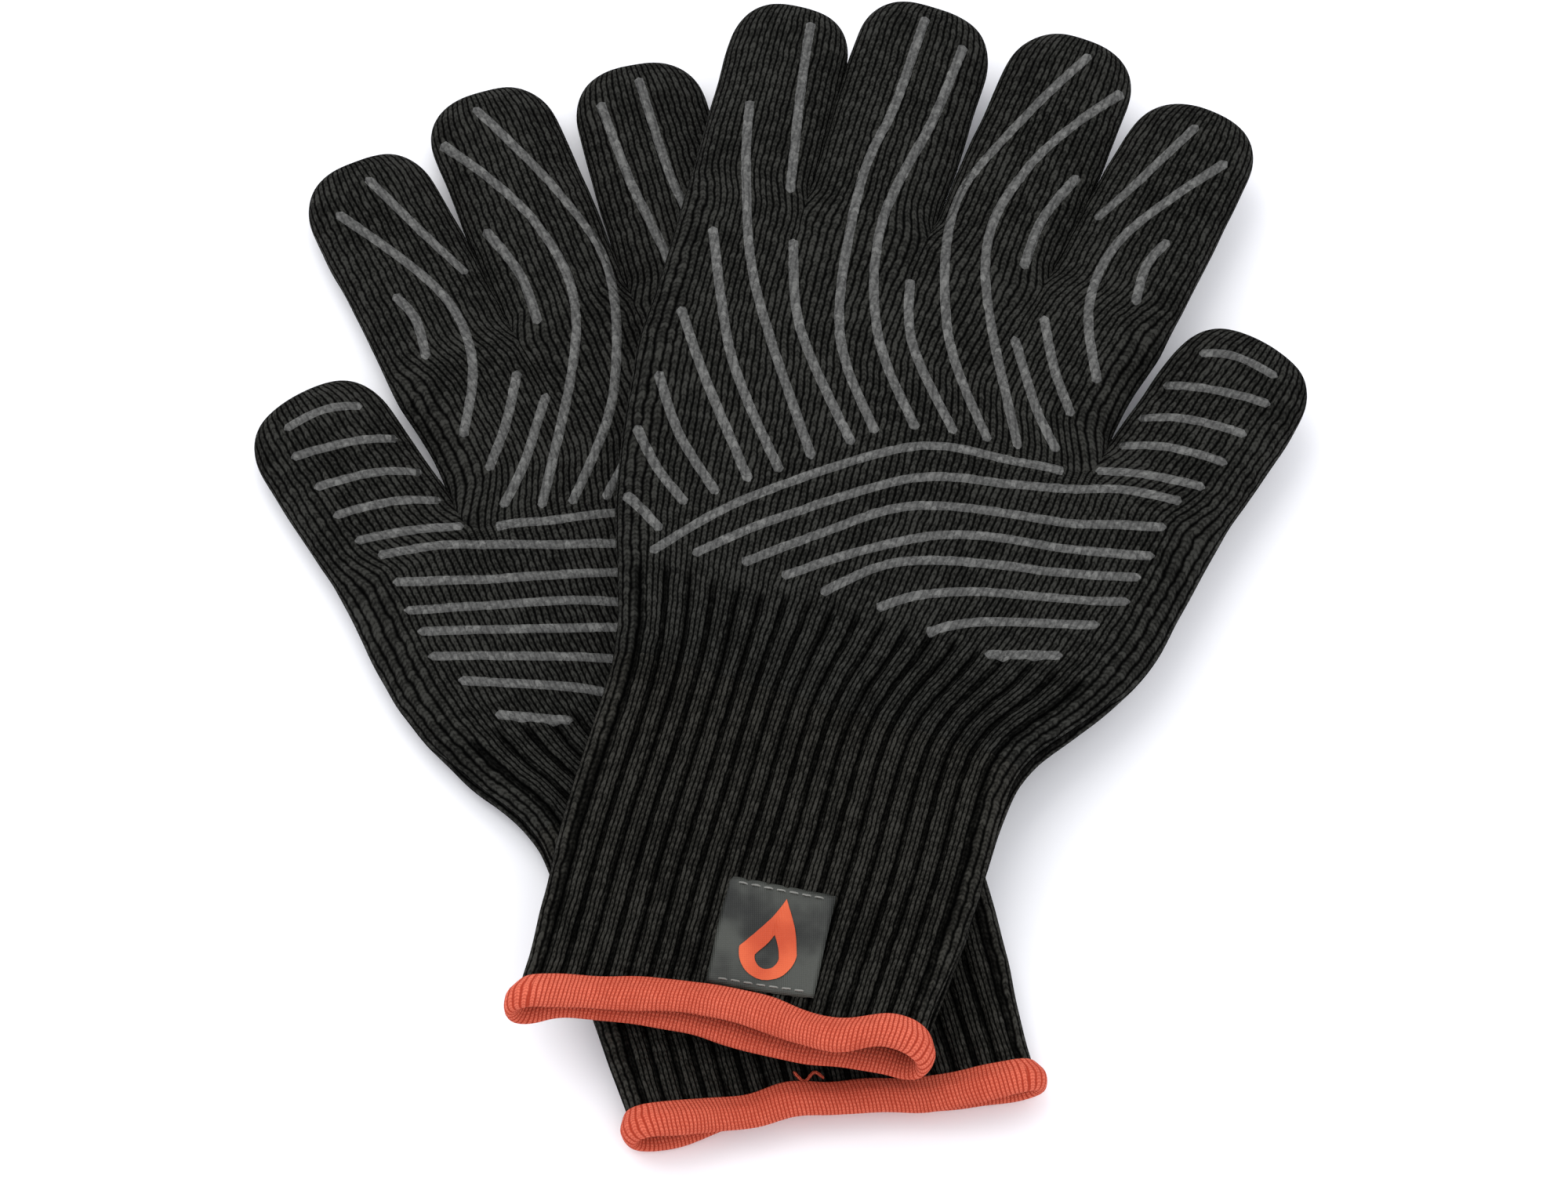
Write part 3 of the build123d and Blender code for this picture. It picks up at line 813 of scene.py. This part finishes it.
def woven(name, dark, light, pitch, rough):
    """A close weave of threads of a given pitch, with a dull, cloudy glint painted into its colour.
    """
    material, tree, shader = blank(name, rough)
    shader.inputs["Specular IOR Level"].default_value = 0.3
    body = add(tree, "TexCoord").outputs["Object"]
    split = add(tree, "SeparateXYZ", Vector=body)
    warp, weft = (
        maths(tree, "PINGPONG", maths(tree, "DIVIDE", split.outputs[axis], pitch * MM), 0.5)
        for axis in (0, 1)
    )
    height = plus(tree, warp, times(tree, weft, 0.6))
    # painted glint: large pale clouds lighten the colour, standing in for the weave's sheen
    painted_glint = ramp(tree, clouds(tree, body, 70.0, 3.0), 0.35, 0.68, 0.0, 0.75)
    shade = plus(tree, times(tree, height, 0.35), painted_glint)
    colour_between(tree, shader, shade, dark, light)
    press(tree, shader, height, 0.12)
    return material


materials["silicone"] = silicone()
# polyester satin of the label: smooth enough for a dull glint, and a cloudy glint is painted into
# its colour on top
materials["satin"] = woven("polyester_satin", "#0a0b09", "#464842", 0.5, 0.4)
# the emblem is woven in with a coloured polyester thread
materials["emblem"] = woven("emblem_thread", "#b23f1e", "#d8623a", 0.5, 0.5)
# spun polyester sewing thread, pale against the black
materials["thread"] = woven("spun_polyester_thread", "#5c5c56", "#8f8f88", 0.3, 0.7)
print(len(materials), "materials:", ", ".join(m.name for m in materials.values()))

# %% [markdown]
# ## Cutting the skin at the bends
# The skin is one mesh until now, so that it is smooth everywhere. It is cut where the CAD's bodies
# meet. The palm's pieces ride on the hand, as do the left glove's cuff, ring and little finger;
# the other digits and the right cuff keep their place but ride on no body.

# %% Cut and attach
CUFF_BEND_START = WRIST_LINE - 3.5
HINGED = {"left": ["thumb", "index", "middle"], "right": DIGIT_ORDER + ["thumb"]}


def object_from(bm, name, side, material):
    """An object of its own from a shape in a glove's flat frame."""
    bmesh.ops.transform(bm, matrix=lay_matrix(side), verts=bm.verts)
    if LAYS[side]["hand"] < 0:
        bmesh.ops.reverse_faces(bm, faces=bm.faces)
    for face in bm.faces:
        face.material_index, face.smooth = 0, True
    made = mesh_of(bm, name)
    # pieces without rib furrows get no painted furrow shade
    if "furrow_light" not in made.attributes:
        for value in made.attributes.new("furrow_light", "FLOAT", "POINT").data:
            value.value = 1.0
    made.materials.append(material)
    return placed(name, made)


def part_of(mesh, part):
    """A copy of the faces of one part."""
    bm = bmesh.new()
    bm.from_mesh(mesh)
    others = [f for f in bm.faces if f.material_index != PARTS.index(part)]
    bmesh.ops.delete(bm, geom=others, context="FACES")
    return bm


def attach(piece, side, part, slot, *nodes):
    """Fixes a piece to its glove's hand, unless it is a hinged digit or the right cuff, whose place
    is only baked in. Hides the CAD parts it replaces.
    """
    to_pair, hand = lay_matrix(side), f"{side}_hand"
    root = along = None
    if part == "cuff" and side == "right":
        root, along = Vector((0, CUFF_BEND_START)), Vector((0, -1))
    elif part in HINGED[side]:
        root, along = DIGITS[part]["root"], DIGITS[part]["along"]
    if root is None:
        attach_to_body(piece, hand)
    else:
        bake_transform(piece)
    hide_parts(*nodes)


for side, mesh in skins.items():
    for part in PARTS:
        kind = "rib" if part == "cuff" else "knit"
        piece = object_from(part_of(mesh, part), f"{side}_{part}_{kind}", side, materials[kind])
        slot = "rib_knit" if part == "cuff" else "aramid_knit"
        attach(piece, side, part, slot, f"{side}_{part}_shell")
    print(side, "skin cut into", len(PARTS), "pieces")

# %% [markdown]
# ## Lining
# The cotton lining is a second, plainer glove inside the first, grown from the same pattern with
# one round of subdivision. Every point is moved inwards, off the shell.

# %% Lining
LINING_DEPTH = 3.0  # below the shell's outer surface, clear of the furrows
LINING_TRIM = 4.5  # the band covers the lining's raw edge, this far inside the mouth


def make_lining(side):
    mesh = subdivided(build_skin(side), 1, f"{side}_inner")
    down = [Vector((0, 0, droop(side, v.co))) + v.normal * LINING_DEPTH for v in mesh.vertices]
    for v, move in zip(mesh.vertices, down):
        v.co -= move
    bm = bmesh.new()
    bm.from_mesh(mesh)
    uv = bm.loops.layers.uv["wales"]
    covered = [f for f in bm.faces if min(c[uv].uv.y for c in f.loops) < LINING_TRIM]
    bmesh.ops.delete(bm, geom=covered, context="FACES")
    bm.to_mesh(mesh)
    bm.free()
    return mesh


for side in LAYS:
    mesh = make_lining(side)
    for part in PARTS:
        piece = object_from(part_of(mesh, part), f"{side}_{part}_cotton", side, materials["cotton"])
        attach(piece, side, part, "cotton_lining", f"{side}_{part}_lining")
    bpy.data.meshes.remove(mesh)
print("lining in", 2 * len(PARTS), "pieces")

# %% [markdown]
# ## The band over the cuff's edge
# The band is a strip of fine knit folded over the edge and stitched through, a soft roll. It is
# grown like the skin: a loop round the mouth is extruded round an oval profile until it meets
# itself.

# %% Band
BAND_STEPS = 10
BAND_HALF_WIDTH, BAND_HALF_THICKNESS = 4.9, 2.7
BAND_RISE, BAND_SINK = 3.4, 0.7  # how far its middle is above the edge, and inside the surface
BAND_INSIDE = 0.5  # how far up the band reaches inside the mouth, as a share of outside
BAND_LUMPS, BAND_LUMP_STEP = 0.10, 0.22  # height as a share of the band; columns to noise
BAND_SEEDS = {"left": (3.1, 0.7), "right": (3.1, 4.4)}


def band_profile(side):
    rows = lower_rows(side)
    edge, above = rows[0], rows[2]
    size = len(edge)
    loops = [[] for _ in range(BAND_STEPS)]
    for i, p in enumerate(edge):
        tangent = (edge[(i + 1) % size] - edge[i - 1]).normalized()
        up = (above[i] - p).normalized()
        out = up.cross(tangent).normalized()
        swell = noise.noise(Vector((i * BAND_LUMP_STEP, *BAND_SEEDS[side]))) * BAND_LUMPS + 1.0
        for k, loop in enumerate(loops):
            turn = 2 * pi * k / BAND_STEPS
            reach = BAND_INSIDE if sin(turn) < 0 < cos(turn) else 1.0
            rise = BAND_RISE + BAND_HALF_WIDTH * cos(turn) * swell * reach
            spot = p + up * rise + out * (BAND_HALF_THICKNESS * sin(turn) * swell - BAND_SINK)
            spot.z = max(spot.z, LOWEST)
            loop.append(spot)
    return loops


def build_band(side):
    loops = band_profile(side)
    bm = bmesh.new()
    uv = bm.loops.layers.uv.new("wales")
    bmesh.ops.create_circle(bm, segments=len(loops[0]), radius=1.0)
    loop = list(bm.verts)
    for v, p in zip(loop, loops[0]):
        v.co = p
    around = 2 * pi * sqrt((BAND_HALF_WIDTH ** 2 + BAND_HALF_THICKNESS ** 2) / 2) / BAND_STEPS
    wales = [i * 2.0 for i in range(len(loop))]
    for k in range(1, BAND_STEPS + 1):
        ends = ((k - 1) * around, k * around)
        loop = grow(bm, uv, loop, loops[k % BAND_STEPS], "cuff", wales, *ends)
    bmesh.ops.remove_doubles(bm, verts=bm.verts, dist=0.01)
    bmesh.ops.recalc_face_normals(bm, faces=bm.faces)
    return bm


for side in LAYS:
    mesh = subdivided(build_band(side), 2, f"{side}_band_mesh")
    bm = bmesh.new()
    bm.from_mesh(mesh)
    piece = object_from(bm, f"{side}_cuff_band_knit", side, materials["band"])
    bpy.data.meshes.remove(mesh)
    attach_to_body(piece, "right_cuff" if side == "right" else "left_hand")
    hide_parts(f"{side}_cuff_band")
    print(side, "band:", len(piece.data.polygons), "faces")

# %% [markdown]
# ## Grip lines
# Silicone is printed on the palm side in curved lines. Each is a narrow grid, bent along its path
# and dropped on to the skin, its middle raised and its edges sunk into the knit. Its UV coordinates
# are read from the skin under it, so that the stitches run through.

# %% Where the lines run, on the flat glove
GRIP_LINES = [
    [(-54, 53), (-33, 76), (2, 101), (30, 107), (43, 109)],
    [(-43, 55), (-24, 72), (5, 92), (32, 100), (55, 107), (75, 109)],
    [(-30, 56), (-14, 69), (7, 84), (38, 92), (73, 100)],
    [(-19, 55), (2, 70), (25, 81), (72, 91)],
    [(-8, 53), (8, 67), (34, 75), (70, 84)],
    [(7, 53), (17, 60), (36, 67), (69, 76)],
    [(21, 50), (34, 57), (63, 67)],
    [(37, 48), (56, 55)],
    [(51, 112), (64, 114), (80, 115)],
    [(55, 122), (68, 124), (84, 124)],
    [(58, 132), (70, 134), (87, 134)],
    [(62, 144), (75, 145), (91, 145)],
    [(69, 156), (79, 157), (91, 154)],
    [(-66, 69), (-53, 60)],
    [(-69, 89), (-60, 78), (-49, 69)],
    [(-68, 106), (-57, 89), (-42, 74)],
    [(-68, 127), (-55, 107), (-35, 80)],
    [(-67, 154), (-50, 115), (-28, 85)],
    [(-69, 197), (-63, 173), (-50, 138), (-21, 91)],
    [(-60, 228), (-57, 208), (-50, 171)],
    [(-45, 157), (-35, 129), (-12, 98)],
    [(-30, 241), (-30, 208), (-32, 178), (-25, 132), (-7, 103)],
    [(-17.5, 236), (-19, 207), (-23, 168), (-15, 134), (3, 107)],
    [(-11, 153), (-5, 133), (13, 109)],
    [(17.5, 243), (1, 208), (-6, 180), (3, 140), (22, 110)],
    [(29, 235), (10, 200), (7, 165), (30, 111)],
    [(24, 203), (18, 185), (17, 168)],
    [(20, 146), (31, 126), (40, 114)],
    [(26, 155), (33, 139), (41, 126)],
    [(52, 228), (40, 204), (32, 190)],
    [(62.5, 219), (41, 186), (37, 162), (45, 138)],
    [(53, 188), (49, 178), (49, 165)],
]
LINE_HALF_WIDTH, LINE_HEIGHT, LINE_SINK = 1.55, 0.5, 0.25
LINE_STEP, LINE_ACROSS = 1.5, 6
RAGGED, RAGGED_SCALE = 0.16, 0.9  # the print's edge wanders as it soaks into the yarn
NARROWEST, LOWEST_END = 0.25, 0.2  # what is left of a line's width and height at its very ends
ABOVE = 60.0  # where points are dropped from
SEED_STEP = 7.3
print(len(GRIP_LINES), "grip lines on each glove")

# %% Drop shapes on to the skin
class Skin:
    """A skin that points can be dropped on to from above the palm."""

    def __init__(self, mesh):
        self.mesh, self.uv = mesh, mesh.uv_layers["wales"].data
        corners, faces = [v.co for v in mesh.vertices], [p.vertices for p in mesh.polygons]
        self.tree = BVHTree.FromPolygons(corners, faces)

    def under(self, x, y):
        """(point, normal, face index) of the skin below a place on the flat glove."""
        hit = self.tree.ray_cast(Vector((x, y, ABOVE)), Vector((0, 0, -1)))
        if hit[0] is None:
            hit = self.tree.find_nearest(Vector((x, y, 2 * MID)))
        return hit[:3]

    def wales_at(self, point, index):
        face = self.mesh.polygons[index]
        weights = poly_3d_calc([self.mesh.vertices[i].co for i in face.vertices], point)
        corners = [self.uv[i].uv for i in face.loop_indices]
        return sum((c * w for c, w in zip(corners, weights)), Vector((0, 0)))


def face_up(bm):
    """Turns every face towards the palm's side."""
    bm.normal_update()
    for face in bm.faces:
        if face.normal.z < 0:
            face.normal_flip()


def along_path(path, share, step):
    """(place, direction) at a share of the way along a smooth path."""
    last = len(path) - 1.0
    at = min(share * last, last)
    before, after = (through(path, t) for t in (max(at - step, 0.0), min(at + step, last)))
    return through(path, at), after - before


def line_strip(bm, uv, skin, points, seed):
    """One printed line: a grid of narrow faces bent along a smooth path."""
    path = [Vector(p) for p in points]
    length = sum((b - a).length for a, b in zip(path, path[1:]))
    steps = max(LINE_ACROSS, round(length / LINE_STEP))
    made = bmesh.ops.create_grid(bm, x_segments=LINE_ACROSS, y_segments=steps, size=0.5)
    spots = {}
    for v in made["verts"]:
        w, t = 2 * v.co.x, v.co.y + 0.5
        here, ahead = along_path(path, t, 0.02)
        aside = Vector((ahead.y, -ahead.x)).normalized()
        from_end = min(t, 1 - t) * length
        end = sqrt(max(0.0, 1 - max(0.0, 1 - from_end / LINE_HALF_WIDTH) ** 2))
        place = Vector((here.x * RAGGED_SCALE, here.y * RAGGED_SCALE, seed + w))
        half = LINE_HALF_WIDTH * max(NARROWEST, end) * (1.0 + RAGGED * noise.noise(place))
        point, normal, index = skin.under(*(here + aside * w * half))
        rise = LINE_HEIGHT * sqrt(max(0.0, 1 - w * w)) * max(LOWEST_END, end)
        v.co = point + normal * (rise - LINE_SINK * abs(w) ** 3)
        spots[v] = (skin.wales_at(point, index), skin.mesh.polygons[index].material_index)
    for face in {f for v in made["verts"] for f in v.link_faces}:
        parts = [spots[v][1] for v in face.verts]
        # no line is printed on the cuff, so what touches it counts as the palm's
        face.material_index = max(max(set(parts), key=parts.count), PARTS.index("palm"))
        for corner in face.loops:
            corner[uv].uv = spots[corner.vert][0]


for side, mesh in skins.items():
    skin = Skin(mesh)
    bm = bmesh.new()
    uv = bm.loops.layers.uv.new("wales")
    for number, points in enumerate(GRIP_LINES):
        line_strip(bm, uv, skin, points, number * SEED_STEP)
    all_lines = mesh_of(bm, "lines")
    for part in PARTS[1:]:
        bm = part_of(all_lines, part)
        face_up(bm)
        piece = object_from(bm, f"{side}_{part}_silicone", side, materials["silicone"])
        attach(piece, side, part, "silicone", f"{side}_{part}_grip_lines")
    bpy.data.meshes.remove(all_lines)
    print(side, "grip lines printed")

# %% [markdown]
# ## Label
# A satin label is sewn on the right cuff near the mouth, a little askew. It spans the ribs, so it
# lies on their tops instead of following each furrow. The emblem is a plain flame woven into it.
# Sewing stitches hold its upper and lower edges.

# %% Label, emblem and stitches
LABEL_SIZE, LABEL_CENTRE, LABEL_TILT = 27.0, Vector((6.0, -41.5)), radians(4.0)
LABEL_THICKNESS, LABEL_LIFT, LABEL_STEPS = 0.5, 0.15, 22
HEM_DROP, HEM_WIDTH = 0.35, 1.2  # the label's edge is pulled down by its sewing
PUCKER = 0.15
TOUCHES = [(dx, dy) for dx in (-3.5, -1.7, 0, 1.7, 3.5) for dy in (-2, 2)]  # rib tops near a point
EMBLEM_RADIUS, EMBLEM_LIFT, EMBLEM_RIM = 7.2, 0.3, 0.12
FLAME_SIDES = [(1, 0), (0.75, 0.9), (0.25, 1.9)], [(0.25, 1.9), (-0.15, 1.1), (-1, 0)]
FLAME_HOLE, HOLE_DROP = 0.42, 0.2
STITCH_LENGTH, STITCH_PITCH, STITCH_INSET = 2.2, 3.2, 1.4
STITCH_ARCH = [(-0.5, -0.35), (-0.36, 0.3), (0, 0.42), (0.36, 0.3), (0.5, -0.35)]
STITCH_RISE, STITCH_SLOPE = 0.7, 0.18
THREAD_RADIUS = 0.24
THREAD_WALES = 4  # knit columns counted round a thread
TUBE_END, PLY = 8, 0.12  # a high power for a blunt end; how far the plies stand out


def label_spot(skin, x, y, lift=0.0):
    """A point over the label's middle plus (x, y), lying on the tops of the ribs."""
    flat = LABEL_CENTRE + Matrix.Rotation(LABEL_TILT, 2) @ Vector((x, y))
    heights = sorted(skin.under(flat.x + dx, flat.y + dy)[0].z for dx, dy in TOUCHES)
    tops = heights[len(heights) // 2:]
    pucker = PUCKER * noise.noise(Vector((x / 4, y / 6, 9.0)))
    return Vector((*flat, sum(tops) / len(tops) + LABEL_LIFT + pucker + lift))


def label_grid(skin):
    bm, half = bmesh.new(), LABEL_SIZE / 2
    bmesh.ops.create_grid(bm, x_segments=LABEL_STEPS, y_segments=LABEL_STEPS, size=half)
    for v in bm.verts:
        x, y, _ = v.co
        from_edge = half - max(abs(x), abs(y))
        v.co = label_spot(skin, x, y, -HEM_DROP * (1 - smooth(from_edge / HEM_WIDTH)))
    return bm


def flame_point(share):
    """A plain flame's outline of radius 1: a round bottom drawn up into a leaning point."""
    if share < 0.5:
        turn = pi + 2 * pi * share
        return Vector((cos(turn), sin(turn)))
    side = [Vector(p) for p in FLAME_SIDES[share >= 0.75]]
    return through(side, ((share - 0.5) % 0.25) * 8)


def flame_grid(skin):
    """The flame as a ring of faces between its outline and the smaller flame left open in it."""
    bm = bmesh.new()
    bmesh.ops.create_grid(bm, x_segments=64, y_segments=4, size=0.5)
    for v in bm.verts:
        share, inward = (v.co.x + 0.5) * 0.9999, v.co.y + 0.5
        edge = flame_point(share)
        hole = edge * FLAME_HOLE - Vector((0, HOLE_DROP))
        p = edge.lerp(hole, inward) * EMBLEM_RADIUS - Vector((0, EMBLEM_RADIUS / 2))
        rise = LABEL_THICKNESS / 2 + EMBLEM_LIFT + EMBLEM_RIM * sin(pi * inward)
        v.co = label_spot(skin, p.x, p.y, rise)
    bmesh.ops.remove_doubles(bm, verts=bm.verts, dist=0.005)
    face_up(bm)
    return bm


def tube(bm, uv, points, radius, around=8, steps=10, twist=0.0):
    """A thread along a smooth path, its ends closed. UVs count stitches and millimetres."""
    length = sum((b - a).length for a, b in zip(points, points[1:]))
    made = bmesh.ops.create_grid(bm, x_segments=around, y_segments=steps, size=0.5)
    for face in {f for v in made["verts"] for f in v.link_faces}:
        for corner in face.loops:
            spot = corner.vert.co
            corner[uv].uv = ((spot.x + 0.5) * THREAD_WALES, (spot.y + 0.5) * length)
    for v in made["verts"]:
        turn, t = 2 * pi * (v.co.x + 0.5), v.co.y + 0.5
        here, ahead = along_path(points, t, 0.05)
        aside = ahead.cross(Vector((0, 0, 1))).normalized()
        above = aside.cross(ahead).normalized()
        thick = radius * sqrt(max(0.0, 1 - (2 * t - 1) ** TUBE_END))
        thick *= 1 + PLY * cos(2 * turn + twist * t)
        v.co = here + (aside * cos(turn) + above * sin(turn)) * thick
    bmesh.ops.remove_doubles(bm, verts=made["verts"], dist=0.002)


def stitches(skin):
    bm = bmesh.new()
    uv = bm.loops.layers.uv.new("wales")
    count = int((LABEL_SIZE - 2 * STITCH_INSET) / STITCH_PITCH)
    for row in (-1, 1):
        y = row * (LABEL_SIZE / 2 - STITCH_INSET)
        for i in range(count):
            x = (i - (count - 1) / 2) * STITCH_PITCH
            slope = STITCH_SLOPE * noise.noise(Vector((i * 1.7, row * 3.0, 0.5)))
            path = []
            for u, arch in STITCH_ARCH:
                lift = LABEL_THICKNESS / 2 + arch * STITCH_RISE
                path.append(label_spot(skin, x + u * STITCH_LENGTH, y + u * slope, lift))
            tube(bm, uv, path, THREAD_RADIUS, twist=14.0)
    bmesh.ops.recalc_face_normals(bm, faces=bm.faces)
    return bm


def riding(piece, side, slot, *nodes):
    """For what sits on a cuff, beyond the stretch of it that bends."""
    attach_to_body(piece, "right_cuff" if side == "right" else "left_hand")
    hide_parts(*nodes)
    return piece


skin = Skin(skins["right"])
label = object_from(label_grid(skin), "right_label_satin", "right", materials["satin"])
wall = label.modifiers.new("cloth", "SOLIDIFY")
wall.thickness, wall.offset = LABEL_THICKNESS * MM, 0.0
riding(label, "right", "label_satin", "right_label_patch")
emblem = object_from(flame_grid(skin), "right_label_flame", "right", materials["emblem"])
riding(emblem, "right", "emblem_thread", "right_label_emblem")
thread = object_from(stitches(skin), "right_label_thread", "right", materials["thread"])
riding(thread, "right", "sewing_thread", "right_label_stitches")
print("label sewn on the right cuff,", len(thread.data.polygons), "faces of thread")

# %% [markdown]
# ### Bar tack
# The band's seam on the lower glove is fastened off with a few visible passes of the band's own
# yarn.

# %% Bar tack
TACK_PATH = [(7.5, -58.0), (5.5, -61.0), (2.5, -59.5), (0.5, -61.5)]
TACK_RADIUS, TACK_LIFT = 0.42, 0.25
skin = Skin(skins["left"])
path = [skin.under(x, y)[0] + Vector((0, 0, TACK_LIFT)) for x, y in TACK_PATH]
bm = bmesh.new()
uv = bm.loops.layers.uv.new("wales")
tube(bm, uv, path, TACK_RADIUS, around=10, steps=40, twist=60.0)
bmesh.ops.recalc_face_normals(bm, faces=bm.faces)
tack = object_from(bm, "left_bar_tack_yarn", "left", materials["band"])
riding(tack, "left", "band_yarn", "left_bar_tack")
print("tack sewn,", round(sum((b - a).length for a, b in zip(path, path[1:])), 1), "mm long")

# %% [markdown]
# ## Floor, light and camera

# %% Stage
TARGET = Vector((PAIR_SHIFT[0], PAIR_SHIFT[1], 0)) * MM
VIEW_ELEVATION, VIEW_DISTANCE = radians(62), 0.992
SKY_STRENGTH, FLOOR_HALF = 1.12, 6.0

bm = bmesh.new()
bmesh.ops.create_grid(bm, x_segments=1, y_segments=1, size=FLOOR_HALF)
floor = placed("floor", mesh_of(bm, "floor"))
floor_material, _, floor_shader = blank("pale_floor", 0.9)
floor_shader.inputs["Base Color"].default_value = linear("#ffffff")
floor.data.materials.append(floor_material)

world = bpy.data.worlds.new("studio")
world.use_nodes = True
sky = world.node_tree.nodes["Background"].inputs
sky["Color"].default_value, sky["Strength"].default_value = linear("#f7f8ff"), SKY_STRENGTH
bpy.context.scene.world = world


def aimed(item, place):
    """Puts a light or camera at a place from the middle of the pair, looking at it."""
    item.location = TARGET + Vector(place)
    item.rotation_euler = Vector(place).to_track_quat("Z", "Y").to_euler()


def softbox(name, place, size, power):
    lamp = bpy.data.lights.new(name, "AREA")
    lamp.shape, lamp.size, lamp.energy = "SQUARE", size, power
    aimed(placed(name, lamp), place)


softbox("key", (-0.4, 0.3, 1.2), 1.0, 6)
softbox("fill", (0.6, -0.5, 1.3), 1.2, 3)

camera = placed("camera", bpy.data.cameras.new("camera"))
camera.data.lens, camera.data.sensor_width = 85, 36
aimed(camera, Vector((0, -cos(VIEW_ELEVATION), sin(VIEW_ELEVATION))) * VIEW_DISTANCE)
bpy.context.scene.camera = camera
bpy.context.scene.view_settings.view_transform = "Standard"
print("camera", [round(v, 3) for v in camera.location])
